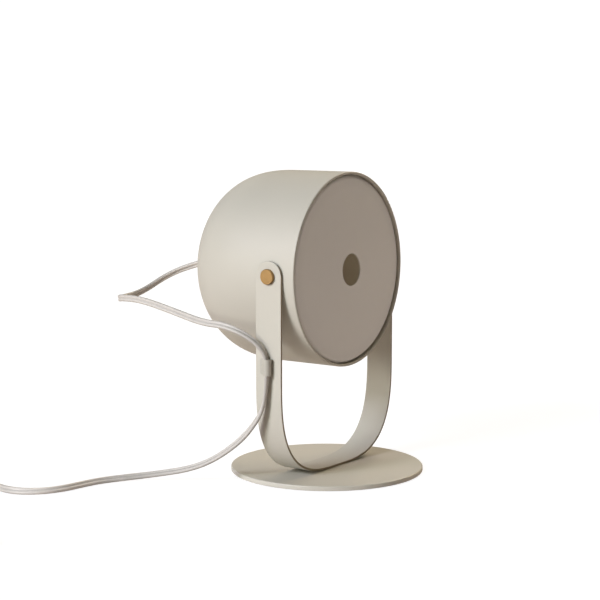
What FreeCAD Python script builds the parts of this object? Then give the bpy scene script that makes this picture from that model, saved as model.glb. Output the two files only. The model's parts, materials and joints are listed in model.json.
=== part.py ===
import FreeCAD, Part
import math
import os

# Tabletop searchlight lamp: a drum head with a rounded rear dome that tilts
# in a U-shaped flat-strip yoke on a round steel base.
# Millimetres, +Z up. The origin is the centre of the underside of the base,
# the lamp faces -Y and the tilt axis runs along X through (0, 0, PIVOT_Z).

V = FreeCAD.Vector

# ------------------------------------------------------------ driving sizes
PAD_T = 1.0            # anti-slip pad under the base
PAD_R = 93.0
BASE_R = 97.8          # base disc
BASE_T = 4.7
BASE_Z0 = PAD_T
BASE_Z1 = PAD_T + BASE_T

HEAD_R = 97.5          # drum head, outside radius
WALL = 1.2             # spun steel sheet
PIVOT_Z = 207.2
FRONT_Y = -27.3        # plane of the rolled front lip
CYL_END_Y = 40.7       # the straight drum ends and the dome begins
DOME_D = 88.0          # depth of the dome
DOME_N = 2.55          # fullness of the dome's curve
LIP_T = 2.6            # rolled lip, radial thickness
LIP_BACK_Y = -20.4

YOKE_HALF = 100.8      # outside half-width of the yoke
STRIP_T = 2.5
STRIP_W = 30.0
EDGE_R = 0.6
BEND_A = 94.0          # sideways reach of each lower bend
BEND_B = 99.0          # height of each lower bend
BEND_N = 2.82

DIFF_T = 1.5           # opal diffuser: a shallow dome with a rounded rim
DIFF_APEX_Y = -29.5
DIFF_DOME_R = 90.3     # where the dome meets the rounded rim
DIFF_SAG = 3.7         # depth of the dome there
DIFF_RIM_R = 3.9       # radius of the rounded rim
DIFF_BACK_Y = -20.4    # free edge, resting on the support ring
FINGER_R = 16.3        # opening in the middle of the diffuser

SCREW_R = 3.0          # pivot screws
CAP_R = 7.5
CAP_T = 3.0
BUSH_R = 4.0

CORD_R = 3.5           # round stand-in for the flat two-core cord
BOOT_END = (0.0, 151.8, 205.1)
BOOT_DROOP = 12.0      # degrees that the boot's tail hangs

CLIP_X = -105.0        # middle of the cable clip's loop
CLIP_Y = -1.7
CLIP_R = 4.15
CLIP_T = 0.6
CLIP_Z = 120.0
CLIP_H = 16.0

COIL_C = (-367.0, 198.0)
COIL_RI, COIL_RO = 32.6, 48.0
COIL_Z0, COIL_Z1 = 1.2, 8.6

SW_X, SW_Y = -333.0, 264.0     # in-line cord switch
SW_LEN, SW_W, SW_H = 50.0, 26.0, 16.5
SW_SPLIT = 8.4
ROCK_REST = -8.0               # degrees, the OFF side pressed

PLUG_X = -412.0
PLUG_BOOT_Y0, PLUG_BODY_Y0, PLUG_FACE_Y, BLADE_END_Y = 140.0, 118.0, 86.0, 68.5
PLUG_Z = 8.2

os.makedirs("parts", exist_ok=True)


# ------------------------------------------------------------------ helpers
def save(name, shape):
    shape = shape.removeSplitter() if len(shape.Solids) == 1 else shape
    if not shape.isValid():
        print("INVALID", name)
    shape.exportStep("parts/" + name + ".step")
    b = shape.BoundBox
    print("%-24s %2d solid(s) vol %10.1f  x %7.1f %7.1f  y %7.1f %7.1f  z %6.1f %6.1f" % (
        name, len(shape.Solids), shape.Volume, b.XMin, b.XMax, b.YMin, b.YMax, b.ZMin, b.ZMax))


def group(shapes):
    return Part.makeCompound(shapes)


def cyl(r, a, b):
    """Solid cylinder of radius r from point a to point b."""
    a, b = V(*a), V(*b)
    d = b.sub(a)
    return Part.makeCylinder(r, d.Length, a, d)


def box(x0, x1, y0, y1, z0, z1):
    return Part.makeBox(x1 - x0, y1 - y0, z1 - z0, V(x0, y0, z0))


def line(a, b):
    return Part.LineSegment(V(*a), V(*b)).toShape()


def arc(a, m, b):
    return Part.Arc(V(*a), V(*m), V(*b)).toShape()


def spline(points, t0=None, t1=None):
    c = Part.BSplineCurve()
    if t0 is None:
        c.interpolate(Points=[V(*p) for p in points])
    else:
        c.interpolate(Points=[V(*p) for p in points], InitialTangent=V(*t0), FinalTangent=V(*t1))
    return c.toShape()


def solid_of_revolution(edges, base, axis, angle=360.0):
    face = Part.Face(Part.Wire(Part.__sortEdges__(edges)))
    return face.revolve(V(*base), V(*axis), angle)


def turned(pairs, y_axis=True):
    """Turned solid about the head's axis from (radius, y) corners."""
    pts = [(r, y, PIVOT_Z) for r, y in pairs]
    edges = [line(pts[i], pts[(i + 1) % len(pts)]) for i in range(len(pts))]
    return solid_of_revolution(edges, (0, 0, PIVOT_Z), (0, 1, 0))


def turned_z(pairs, cx, cy, angle=360.0):
    pts = [(cx + r, cy, z) for r, z in pairs]
    edges = [line(pts[i], pts[(i + 1) % len(pts)]) for i in range(len(pts))]
    return solid_of_revolution(edges, (cx, cy, 0), (0, 0, 1), angle)


def hexagon_prism(af, a, b):
    """Hexagonal prism, across flats af, from point a to point b."""
    a, b = V(*a), V(*b)
    d = b.sub(a)
    axis = V(d).normalize()
    u = axis.cross(V(0, 0, 1))
    if u.Length < 1e-6:
        u = V(1, 0, 0)
    u.normalize()
    w = axis.cross(u)
    r = af / math.sqrt(3.0)
    pts = []
    for k in range(6):
        t = math.radians(60 * k)
        pts.append(a + u * (r * math.cos(t)) + w * (r * math.sin(t)))
    wire = Part.makePolygon(pts + [pts[0]])
    return Part.Face(wire).extrude(d)


def super_quarter(a, b, n, count):
    """Quarter of a superellipse as (inward, along, normal) samples, from the
    tangent on the straight wall (0, 0) to the tangent on the end (a, b)."""
    out = []
    for k in range(count + 1):
        t = math.pi / 2 * k / count
        c, s = max(math.cos(t), 0.0), max(math.sin(t), 0.0)
        x, y = a * (1 - c ** (2.0 / n)), b * s ** (2.0 / n)
        # the gradient of the implicit curve is its outward normal
        gx = (c ** (2.0 / n)) ** (n - 1) / a
        gy = (s ** (2.0 / n)) ** (n - 1) / b
        g = math.hypot(gx, gy)
        out.append((x, y, gx / g, gy / g))
    return out


def cord_path(points, label):
    """Straight runs joined by tangent arcs. Prints each arc's radius.
    Returns the list of edges."""
    pts = [V(*p) for p in points]
    runs = [pts[i + 1].sub(pts[i]).Length for i in range(len(pts) - 1)]
    edges, here, radii = [], pts[0], []
    for i in range(1, len(pts) - 1):
        a = pts[i].sub(pts[i - 1]).normalize()
        b = pts[i + 1].sub(pts[i]).normalize()
        t = 0.45 * min(runs[i - 1], runs[i])
        turn = a.getAngle(b)
        radii.append(t / math.tan(turn / 2))
        p0, p1 = pts[i] - a * t, pts[i] + b * t
        # middle of the arc: on the bisector, towards the centre
        inward = V(b - a).normalize()
        r = radii[-1]
        centre = pts[i] + inward * (r / math.cos(turn / 2))
        mid = centre - inward * r
        edges.append(Part.LineSegment(here, p0).toShape())
        edges.append(Part.Arc(p0, mid, p1).toShape())
        here = p1
    edges.append(Part.LineSegment(here, pts[-1]).toShape())
    print("%s: arc radii %s, length %.0f" % (label, [round(r) for r in radii], sum(e.Length for e in edges)))
    return edges


def tube(edges, r, label):
    wire = Part.Wire(edges)
    e = edges[0]
    p = e.valueAt(e.FirstParameter)
    d = e.tangentAt(e.FirstParameter)
    ring = Part.Wire(Part.makeCircle(r, p, d))
    s = wire.makePipeShell([ring], True, False)
    if s.Volume < 0:
        s = s.reversed()
    want = math.pi * r * r * wire.Length
    print("%s: volume %.0f, section x length %.0f" % (label, s.Volume, want))
    return s


# --------------------------------------------------------------------- base
base = Part.makeCylinder(BASE_R, BASE_T, V(0, 0, BASE_Z0))
top_edges = [e for e in base.Edges if abs(e.BoundBox.ZMin - BASE_Z1) < 1e-6 and e.BoundBox.XLength > 1]
low_edges = [e for e in base.Edges if abs(e.BoundBox.ZMax - BASE_Z0) < 1e-6 and e.BoundBox.XLength > 1]
base = base.makeFillet(1.2, top_edges)
low_edges = [e for e in base.Edges if abs(e.BoundBox.ZMax - BASE_Z0) < 1e-6 and e.BoundBox.XLength > 1]
base = base.makeChamfer(0.5, low_edges)
STUD_X = 14.0
for sx in (-STUD_X, STUD_X):
    base = base.cut(cyl(2.7, (sx, 0, BASE_Z0 - 1), (sx, 0, BASE_Z1 + 1)))
    base = base.cut(cyl(5.6, (sx, 0, BASE_Z0 - 1), (sx, 0, BASE_Z0 + 3.2)))
save("base_plate", base)

pad = Part.makeCylinder(PAD_R, PAD_T, V(0, 0, 0))
save("base_pad", pad)

# --------------------------------------------------------------------- yoke
def yoke_wire():
    q = super_quarter(BEND_A, BEND_B, BEND_N, 28)
    zt = BASE_Z1 + BEND_B
    top = PIVOT_Z + STRIP_W / 2
    # left side, outer skin from the top down to the flat bottom
    outer, inner = [], []
    for x, y, gx, gy in q:
        px, pz = -YOKE_HALF + x, zt - y
        outer.append((px, 0, pz))
        inner.append((px + gx * STRIP_T, 0, pz + gy * STRIP_T))
    edges = []
    xo = -YOKE_HALF
    xi = xo + STRIP_T
    edges.append(line((xo, 0, top), (xo, 0, zt)))
    edges.append(spline(outer, (0, 0, -1), (1, 0, 0)))
    edges.append(line(outer[-1], (-outer[-1][0], 0, outer[-1][2])))
    edges.append(spline([(-x, y, z) for x, y, z in reversed(outer)], (1, 0, 0), (0, 0, 1)))
    edges.append(line((-xo, 0, zt), (-xo, 0, top)))
    edges.append(line((-xo, 0, top), (-xi, 0, top)))
    edges.append(line((-xi, 0, top), (-xi, 0, zt)))
    edges.append(spline([(-x, y, z) for x, y, z in inner], (0, 0, -1), (-1, 0, 0)))
    edges.append(line((-inner[-1][0], 0, inner[-1][2]), inner[-1]))
    edges.append(spline(list(reversed(inner)), (-1, 0, 0), (0, 0, 1)))
    edges.append(line((xi, 0, zt), (xi, 0, top)))
    edges.append(line((xi, 0, top), (xo, 0, top)))
    return Part.Wire(edges)


yoke_face = Part.Face(yoke_wire())
yoke = yoke_face.extrude(V(0, STRIP_W, 0))
yoke.translate(V(0, -STRIP_W / 2, 0))
keep = box(-120, 120, -STRIP_W / 2 - 1, STRIP_W / 2 + 1, 0, PIVOT_Z).fuse(
    cyl(STRIP_W / 2, (-120, 0, PIVOT_Z), (120, 0, PIVOT_Z)))
yoke = yoke.common(keep)
yoke = yoke.Solids[0]
long_edges = [e for e in yoke.Edges if e.BoundBox.YLength < 0.01 or (e.BoundBox.XLength < 0.01 and e.BoundBox.YLength > 10 and e.BoundBox.ZLength > 10)]
print("yoke edges", len(yoke.Edges), len(long_edges))
yoke = yoke.makeFillet(EDGE_R, [e for e in long_edges if e.Length > STRIP_T + 0.5])
yoke = yoke.cut(cyl(BUSH_R, (-120, 0, PIVOT_Z), (120, 0, PIVOT_Z)))
RIVET_Y = 5.3
yoke = yoke.cut(cyl(1.25, (-110, RIVET_Y, CLIP_Z), (-90, RIVET_Y, CLIP_Z)))
STRIP_TOP = BASE_Z1 + STRIP_T
for sx in (-STUD_X, STUD_X):
    yoke = yoke.cut(cyl(2.5, (sx, 0, 0), (sx, 0, 20)))
    yoke = yoke.cut(cyl(4.0, (sx, 0, STRIP_TOP - 1.0), (sx, 0, 20)))
save("yoke", yoke)

# flush-head studs pressed into the strip, with washers and thin nuts sunk
# into the underside of the base
studs, nuts, washers = [], [], []
for sx in (-STUD_X, STUD_X):
    studs.append(cyl(2.48, (sx, 0, 1.5), (sx, 0, STRIP_TOP - 0.5)).fuse(
        cyl(3.98, (sx, 0, STRIP_TOP - 1.0), (sx, 0, STRIP_TOP))))
    washers.append(cyl(5.0, (sx, 0, 3.5), (sx, 0, 4.2)).cut(cyl(2.65, (sx, 0, 3), (sx, 0, 5))))
    nuts.append(hexagon_prism(8.0, (sx, 0, 1.4), (sx, 0, 3.5)).cut(cyl(2.5, (sx, 0, 0), (sx, 0, 5))))
save("yoke_studs", group(studs))
save("base_washers", group(washers))
save("base_nuts", group(nuts))

# --------------------------------------------------------------- cable clip
ARM_X = -YOKE_HALF
clip_z0, clip_z1 = CLIP_Z - CLIP_H / 2, CLIP_Z + CLIP_H / 2
clip = cyl(CLIP_R, (CLIP_X, CLIP_Y, clip_z0), (CLIP_X, CLIP_Y, clip_z1))
tab1 = box(ARM_X - 0.65, ARM_X, CLIP_Y, 9.0, clip_z0, clip_z1)
tab2 = box(ARM_X - 1.3, ARM_X - 0.65, CLIP_Y + 1.8, 9.0, clip_z0, clip_z1)
tabs = tab1.fuse(tab2).removeSplitter()
corners = cyl(3.0, (ARM_X - 3, 6.0, CLIP_Z - 5), (ARM_X + 3, 6.0, CLIP_Z - 5))
corners = corners.fuse(cyl(3.0, (ARM_X - 3, 6.0, CLIP_Z + 5), (ARM_X + 3, 6.0, CLIP_Z + 5)))
corners = corners.fuse(box(ARM_X - 3, ARM_X + 3, 5.9, 9.0, CLIP_Z - 5, CLIP_Z + 5))
corners = corners.fuse(box(ARM_X - 3, ARM_X + 3, CLIP_Y - 1, 6.0, CLIP_Z - CLIP_H / 2, CLIP_Z + CLIP_H / 2))
tabs = tabs.common(corners)
clip = clip.fuse(tabs).cut(cyl(CLIP_R - CLIP_T, (CLIP_X, CLIP_Y, 100), (CLIP_X, CLIP_Y, 140)))
clip = clip.cut(cyl(1.25, (-110, RIVET_Y, CLIP_Z), (-90, RIVET_Y, CLIP_Z)))
save("cable_clip", clip)

rivet = cyl(1.2, (ARM_X - 1.5, RIVET_Y, CLIP_Z), (ARM_X + STRIP_T + 0.1, RIVET_Y, CLIP_Z))
head_out = Part.makeCone(1.5, 2.1, 0.45, V(ARM_X - 1.85, RIVET_Y, CLIP_Z), V(1, 0, 0))
head_in = Part.makeCone(2.2, 1.5, 0.6, V(ARM_X + STRIP_T, RIVET_Y, CLIP_Z), V(1, 0, 0))
save("clip_rivet", rivet.fuse(head_out).fuse(head_in))

# --------------------------------------------------------------- head shell
def head_wire():
    q = super_quarter(HEAD_R, DOME_D, DOME_N, 30)
    outer, inner = [], []
    for x, y, gx, gy in q:
        r, s = HEAD_R - x, CYL_END_Y + y
        outer.append((r, s, PIVOT_Z))
        inner.append((max(r - gx * WALL, 0.0), s - gy * WALL, PIVOT_Z))
    z = PIVOT_Z
    ri = HEAD_R - WALL
    rl = HEAD_R - LIP_T
    k = LIP_T / 2
    edges = [
        line((rl, LIP_BACK_Y, z), (rl, FRONT_Y + k, z)),
        arc((rl, FRONT_Y + k, z), (rl + k, FRONT_Y, z), (HEAD_R, FRONT_Y + k, z)),
        line((HEAD_R, FRONT_Y + k, z), (HEAD_R, CYL_END_Y, z)),
        spline(outer, (0, 1, 0), (-1, 0, 0)),
        line(outer[-1], inner[-1]),
        spline(list(reversed(inner)), (1, 0, 0), (0, -1, 0)),
        line((ri, CYL_END_Y, z), (ri, LIP_BACK_Y, z)),
        line((ri, LIP_BACK_Y, z), (rl, LIP_BACK_Y, z)),
    ]
    return Part.Wire(edges)


shell = Part.Face(head_wire()).revolve(V(0, 0, PIVOT_Z), V(0, 1, 0), 360)
shell = shell.Solids[0] if shell.Solids else Part.makeSolid(shell)
POLE_Y = CYL_END_Y + DOME_D
shell = shell.cut(cyl(5.15, (0, POLE_Y - 6, PIVOT_Z), (0, POLE_Y + 5, PIVOT_Z)))
shell = shell.cut(cyl(3.2, (-110, 0, PIVOT_Z), (-80, 0, PIVOT_Z)))
shell = shell.cut(cyl(3.2, (80, 0, PIVOT_Z), (110, 0, PIVOT_Z)))
save("head_shell", shell)

# ----------------------------------------------------- diffuser and its ring
RS = (DIFF_DOME_R ** 2 + DIFF_SAG ** 2) / (2 * DIFF_SAG)
LEAN = math.asin(DIFF_DOME_R / RS)


def dome_y(r, inset=0.0):
    """Front of the dome at radius r, or its back with inset=DIFF_T."""
    return DIFF_APEX_Y + RS - math.sqrt((RS - inset) ** 2 - r * r)


z = PIVOT_Z
# centre of the rounded rim, tangent to the dome
rim_cr = DIFF_DOME_R - DIFF_RIM_R * math.sin(LEAN)
rim_cy = DIFF_APEX_Y + DIFF_SAG + DIFF_RIM_R * math.cos(LEAN)


def rim_point(rad, a):
    return (rim_cr + rad * math.cos(a), rim_cy - rad * math.sin(a), z)


a_top = math.pi / 2 - LEAN
rin = DIFF_RIM_R - DIFF_T
rm = 50.0
diff_edges = [
    arc((FINGER_R, dome_y(FINGER_R), z), (rm, dome_y(rm), z), rim_point(DIFF_RIM_R, a_top)),
    arc(rim_point(DIFF_RIM_R, a_top), rim_point(DIFF_RIM_R, a_top / 2), rim_point(DIFF_RIM_R, 0)),
    line(rim_point(DIFF_RIM_R, 0), (rim_cr + DIFF_RIM_R, DIFF_BACK_Y, z)),
    line((rim_cr + DIFF_RIM_R, DIFF_BACK_Y, z), (rim_cr + rin, DIFF_BACK_Y, z)),
    line((rim_cr + rin, DIFF_BACK_Y, z), rim_point(rin, 0)),
    arc(rim_point(rin, 0), rim_point(rin, a_top / 2), rim_point(rin, a_top)),
    arc(rim_point(rin, a_top), (rm, dome_y(rm, DIFF_T), z), (FINGER_R, dome_y(FINGER_R, DIFF_T), z)),
    line((FINGER_R, dome_y(FINGER_R, DIFF_T), z), (FINGER_R, dome_y(FINGER_R), z)),
]
diff = Part.Face(Part.Wire(diff_edges)).revolve(V(0, 0, PIVOT_Z), V(0, 1, 0), 360)
diff = diff.Solids[0] if diff.Solids else Part.makeSolid(diff)
# three bosses on its back hold the magnets
BOSS_R, BOSS_END = 87.6, DIFF_BACK_Y - 0.1
magnets = []
for k in range(3):
    t = math.radians(90 + 120 * k)
    mx, mz = BOSS_R * math.cos(t), PIVOT_Z + BOSS_R * math.sin(t)
    diff = diff.fuse(cyl(3.9, (mx, -24.9, mz), (mx, BOSS_END, mz)))
    diff = diff.cut(cyl(3.05, (mx, BOSS_END - 1.9, mz), (mx, BOSS_END + 1, mz)))
    magnets.append(cyl(3.0, (mx, BOSS_END - 1.85, mz), (mx, BOSS_END - 0.05, mz)))
save("diffuser", diff)
save("diffuser_magnets", group(magnets))

RING_Y = DIFF_BACK_Y + 0.1
ring_r = HEAD_R - WALL - 0.02
ring = turned([(85.0, RING_Y), (ring_r, RING_Y), (ring_r, -12.0), (ring_r - 1.2, -12.0),
               (ring_r - 1.2, RING_Y + 1.2), (85.0, RING_Y + 1.2)])
save("diffuser_support_ring", ring)

# ------------------------------------------------------------ tilt pivots
for side, sx in (("left", -1), ("right", 1)):
    def X(v):
        return sx * v
    # brass screw with a wide flat head
    head = Part.makeCylinder(CAP_R, CAP_T, V(X(YOKE_HALF + 0.12), 0, PIVOT_Z), V(sx, 0, 0))
    rim_edges = [e for e in head.Edges if abs(abs(e.BoundBox.Center.x) - (YOKE_HALF + 0.12 + CAP_T)) < 1e-4
                 and e.BoundBox.YLength > 5]
    head = head.makeChamfer(0.5, rim_edges)
    shank = cyl(SCREW_R, (X(86.0), 0, PIVOT_Z), (X(YOKE_HALF + 0.2), 0, PIVOT_Z))
    save("pivot_screw_" + side, head.fuse(shank))
    # plastic bush pressed into the arm
    bush = cyl(BUSH_R - 0.01, (X(YOKE_HALF - STRIP_T), 0, PIVOT_Z), (X(YOKE_HALF), 0, PIVOT_Z)).cut(
        cyl(SCREW_R + 0.06, (X(80), 0, PIVOT_Z), (X(120), 0, PIVOT_Z)))
    save("pivot_bushing_" + side, bush)
    # saddle washer: flat towards the arm, hollowed to the drum
    washer = cyl(10.0, (X(94.0), 0, PIVOT_Z), (X(YOKE_HALF - STRIP_T - 0.1), 0, PIVOT_Z))
    washer = washer.cut(cyl(HEAD_R + 0.05, (0, -60, PIVOT_Z), (0, 60, PIVOT_Z)))
    washer = washer.cut(cyl(SCREW_R + 0.1, (X(80), 0, PIVOT_Z), (X(120), 0, PIVOT_Z)))
    save("saddle_washer_" + side, washer)
    # curved steel plate that stiffens the wall inside
    plate = cyl(HEAD_R - WALL - 0.1, (0, -15, PIVOT_Z), (0, 15, PIVOT_Z)).cut(
        cyl(HEAD_R - WALL - 2.1, (0, -16, PIVOT_Z), (0, 16, PIVOT_Z)))
    plate = plate.common(box(min(X(80), X(100)), max(X(80), X(100)), -11.5, 15, PIVOT_Z - 14, PIVOT_Z + 14))
    plate = plate.cut(cyl(SCREW_R + 0.15, (X(80), 0, PIVOT_Z), (X(120), 0, PIVOT_Z)))
    plate = plate.cut(cyl(7.6, (X(80), 0, PIVOT_Z), (X(93.6), 0, PIVOT_Z)))
    save("backing_plate_" + side, plate)

spring_washers, lock_nuts = [], []
for sx in (-1, 1):
    sw = cyl(5.8, (sx * 92.2, 0, PIVOT_Z), (sx * 93.5, 0, PIVOT_Z)).cut(
        cyl(SCREW_R + 0.1, (sx * 80, 0, PIVOT_Z), (sx * 120, 0, PIVOT_Z)))
    slot = box(min(sx * 92, sx * 94), max(sx * 92, sx * 94), -0.5, 0.5, PIVOT_Z, PIVOT_Z + 8)
    spring_washers.append(sw.cut(slot))
    nut = hexagon_prism(10.0, (sx * 87.2, 0, PIVOT_Z), (sx * 92.2, 0, PIVOT_Z)).cut(
        cyl(SCREW_R, (sx * 80, 0, PIVOT_Z), (sx * 120, 0, PIVOT_Z)))
    lock_nuts.append(nut)
save("pivot_spring_washers", group(spring_washers))
save("pivot_lock_nuts", group(lock_nuts))

# ------------------------------------------------- lamp holder inside the head
nipple = cyl(5.0, (0, 106.0, PIVOT_Z), (0, 138.0, PIVOT_Z)).cut(
    cyl(3.8, (0, 100, PIVOT_Z), (0, 145, PIVOT_Z)))
save("threaded_nipple", nipple)
locknut = hexagon_prism(15.0, (0, 124.0, PIVOT_Z), (0, 127.0, PIVOT_Z)).cut(
    cyl(5.0, (0, 100, PIVOT_Z), (0, 145, PIVOT_Z)))
save("nipple_locknut", locknut)

cap = turned([(5.05, 113.0), (8.0, 113.0), (8.0, 109.5), (13.5, 107.5), (17.6, 103.0), (19.0, 97.0), (19.0, 95.0),
              (17.7, 95.0), (17.7, 97.0), (16.4, 102.3), (12.8, 106.2), (6.8, 108.2), (5.05, 108.2)])
save("socket_cap", cap)
skirt = turned([(19.0, 94.9), (19.0, 66.0), (16.0, 66.0), (16.0, 67.2), (17.6, 67.2), (17.6, 94.9)])
save("socket_skirt", skirt)
liner = turned([(17.4, 83.8), (17.4, 67.4), (14.5, 67.4), (14.5, 83.8)])
save("socket_liner", liner)
core = turned([(0, 96.0), (17.4, 96.0), (17.4, 84.0), (14.3, 84.0), (14.3, 86.2), (0, 86.2)])
save("socket_core", core)
screw_shell = turned([(14.2, 86.1), (14.2, 69.0), (13.5, 69.0), (13.5, 85.4), (6.0, 85.4), (6.0, 86.1)])
for k in range(5):
    yy = 71.5 + 2.6 * k
    screw_shell = screw_shell.cut(Part.makeTorus(14.5, 0.5, V(0, yy, PIVOT_Z), V(0, 1, 0)))
save("socket_screw_shell", screw_shell)
contact = box(-2.5, 2.5, 84.6, 85.4, PIVOT_Z - 3, PIVOT_Z + 3).fuse(
    box(-2.5, 2.5, 83.4, 86.1, PIVOT_Z - 3, PIVOT_Z - 2.2))
save("socket_contact", contact)

# bulb: screw base, tip and globe
bb = [(0, 83.2), (4.5, 83.2), (5.0, 82.2), (11.0, 80.4), (13.2, 78.5), (13.2, 60.0), (12.3, 58.2), (0, 58.2)]
bulb_base = turned(bb)
for k in range(5):
    yy = 64.0 + 3.0 * k
    bulb_base = bulb_base.cut(Part.makeTorus(13.6, 0.7, V(0, yy, PIVOT_Z), V(0, 1, 0)))
save("bulb_base", bulb_base)
BULB_R, BULB_C = 25.0, 33.0
NECK_R = 12.2
middle = V(0, BULB_C, PIVOT_Z)
globe = Part.makeSphere(BULB_R, middle, V(0, 1, 0)).fuse(
    cyl(NECK_R, (0, BULB_C, PIVOT_Z), (0, 58.1, PIVOT_Z)))
globe = globe.cut(Part.makeSphere(BULB_R - 1.0, middle, V(0, 1, 0)).fuse(
    cyl(NECK_R - 1.0, (0, BULB_C, PIVOT_Z), (0, 60.0, PIVOT_Z))))
globe = globe.Solids[0]
save("bulb_globe", globe)

wires = []
for sx in (-1, 1):
    w = cyl(0.9, (sx * 1.7, 103.9, PIVOT_Z), (sx * 8.5, 97.4, PIVOT_Z))
    wires.append(w.fuse(cyl(2.0, (sx * 8.9, 96.02, PIVOT_Z), (sx * 8.9, 97.6, PIVOT_Z))))
save("socket_wires", group(wires))

# ------------------------------------------- strain relief boot at the rear
FL0, FL1 = POLE_Y + 0.1, POLE_Y + 3.1
droop = math.radians(BOOT_DROOP)
boot_dy = BOOT_END[1] - FL1
boot_rad = boot_dy / math.sin(droop)
BOOT_END_Z = PIVOT_Z - boot_rad * (1 - math.cos(droop))
print("boot tail end z %.2f (route starts at %.2f)" % (BOOT_END_Z, BOOT_END[2]))


def boot_at(u):
    a = droop * u
    return V(0, FL1 + boot_rad * math.sin(a), PIVOT_Z - boot_rad * (1 - math.cos(a))), V(0, math.cos(a), -math.sin(a))


flange = cyl(9.5, (0, FL0, PIVOT_Z), (0, FL1, PIVOT_Z))
fl_edges = [e for e in flange.Edges if abs(e.BoundBox.YMin - FL1) < 1e-6 and e.BoundBox.XLength > 5]
flange = flange.makeFillet(1.2, fl_edges)
boot = flange
# the tail is a row of tapering ribs on a thinner tapering stem
stem_rings = []
for k in range(7):
    u = k / 6.0
    p, d = boot_at(u)
    if k == 0:
        p = p - d * 0.5
    stem_rings.append(Part.Wire(Part.makeCircle(6.0 - 1.4 * u, p, d)))
boot = boot.fuse(Part.makeLoft(stem_rings, True, False))
for k in range(5):
    u = 0.08 + 0.19 * k
    p, d = boot_at(u)
    rib_r = 7.4 - 1.9 * u
    rib = Part.makeCylinder(rib_r, 2.3, p - d * 0.2, d)
    boot = boot.fuse(rib)
boot = boot.cut(cyl(5.05, (0, FL0 - 1, PIVOT_Z), (0, 138.3, PIVOT_Z)))

inner_mid = boot_at(0.5)[0]
inner_end = boot_at(1.0)[0]
lead_edges = [line((0, 104.8, PIVOT_Z), (0, FL1, PIVOT_Z)),
              Part.Arc(V(0, FL1, PIVOT_Z), inner_mid, inner_end).toShape()]
bore_end, bore_dir = boot_at(1.0)
bore_edges = [line((0, 134.0, PIVOT_Z), tuple(boot_at(0.12)[0]))]
bore = tube([Part.Arc(boot_at(0.15)[0], boot_at(0.6)[0], bore_end).toShape(),
             Part.LineSegment(bore_end, bore_end + bore_dir * 2).toShape()], CORD_R + 0.1, "boot bore")
boot = boot.cut(bore)
save("rear_strain_relief", boot)
save("cord_inner_lead", tube(lead_edges, CORD_R, "cord inner lead"))

# ------------------------------------------------------------------- cord
ROUTE = [
    (0.0, 151.8, BOOT_END_Z), (0.0, 173.4, 200.5), (-10.5, 200.9, 188.6), (-35.5, 216.4, 170.5),
    (-79.1, 217.6, 168.8), (-105.8, 192.5, 173.0), (-108.3, 155.6, 175.6), (-108.5, 110.8, 166.2),
    (-117.2, 68.3, 159.4), (-118.5, 42.7, 159.3), (-112.0, 16.0, 151.5), (-105.0, -0.6, 132.6),
    (-105.0, -2.5, 106.6), (-106.0, 4.2, 79.2), (-108.4, 9.5, 66.3), (-112.9, 24.6, 46.4),
    (-118.7, 50.8, 26.3), (-127.0, 74.9, 14.7), (-138.6, 107.2, 7.4), (-165.2, 138.5, 3.6),
    (-188.8, 148.5, 3.6), (-238.0, 154.3, 3.6), (-263.1, 184.6, 3.6), (-253.5, 224.9, 3.6),
    (-263.8, 249.1, 6.1), (-286.0, 262.0, 8.0), (-302.0, 264.0, 8.4),
]
LINK = [
    (-364.0, 264.0, 8.4), (-384.0, 264.0, 7.6), (-401.5, 254.0, 5.6), (-411.5, 236.6, 4.7), (-411.5, 214.0, 4.9),
]
TAIL = [
    (-411.4, 192.0, 6.6), (-411.6, 175.0, 7.2), (-412.0, 157.0, 8.0), (PLUG_X, PLUG_BOOT_Y0, PLUG_Z),
]
route_edges = cord_path(ROUTE, "cord route")
# the clip holds the cord in the middle of the run between points 11 and 12:
# the stretch above it moves with the head, the stretch below it lies still
clip_line = route_edges[2 * 11]
p0, p1 = clip_line.valueAt(clip_line.FirstParameter), clip_line.valueAt(clip_line.LastParameter)
pm = (p0 + p1) * 0.5
print("cord split in the clip at", [round(c, 2) for c in pm])
upper = route_edges[:22] + [Part.LineSegment(p0, pm).toShape()]
lower = [Part.LineSegment(pm, p1).toShape()] + route_edges[23:]
save("cord_upper", tube(upper, CORD_R, "cord upper"))
save("cord_lower", tube(lower, CORD_R, "cord lower"))
save("cord_link", tube(cord_path(LINK, "cord link"), CORD_R, "cord link"))
save("cord_tail", tube(cord_path(TAIL, "cord tail"), CORD_R, "cord tail"))

# coil of the spare length: its outer shape
s45 = math.sqrt(0.5)
cr = 2.5
cx, cy = COIL_C


def cp(r, zz):
    return (cx + r, cy, zz)


k = cr * (1 - s45)
coil_edges = [
    line(cp(COIL_RI + cr, COIL_Z0), cp(COIL_RO - cr, COIL_Z0)),
    arc(cp(COIL_RO - cr, COIL_Z0), cp(COIL_RO - k, COIL_Z0 + k), cp(COIL_RO, COIL_Z0 + cr)),
    line(cp(COIL_RO, COIL_Z0 + cr), cp(COIL_RO, COIL_Z1 - cr)),
    arc(cp(COIL_RO, COIL_Z1 - cr), cp(COIL_RO - k, COIL_Z1 - k), cp(COIL_RO - cr, COIL_Z1)),
    line(cp(COIL_RO - cr, COIL_Z1), cp(COIL_RI + cr, COIL_Z1)),
    arc(cp(COIL_RI + cr, COIL_Z1), cp(COIL_RI + k, COIL_Z1 - k), cp(COIL_RI, COIL_Z1 - cr)),
    line(cp(COIL_RI, COIL_Z1 - cr), cp(COIL_RI, COIL_Z0 + cr)),
    arc(cp(COIL_RI, COIL_Z0 + cr), cp(COIL_RI + k, COIL_Z0 + k), cp(COIL_RI + cr, COIL_Z0)),
]
coil = Part.Face(Part.Wire(coil_edges)).revolve(V(cx, cy, 0), V(0, 0, 1), 360)
coil = coil.Solids[0] if coil.Solids else Part.makeSolid(coil)
save("cord_coil", coil)

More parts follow.
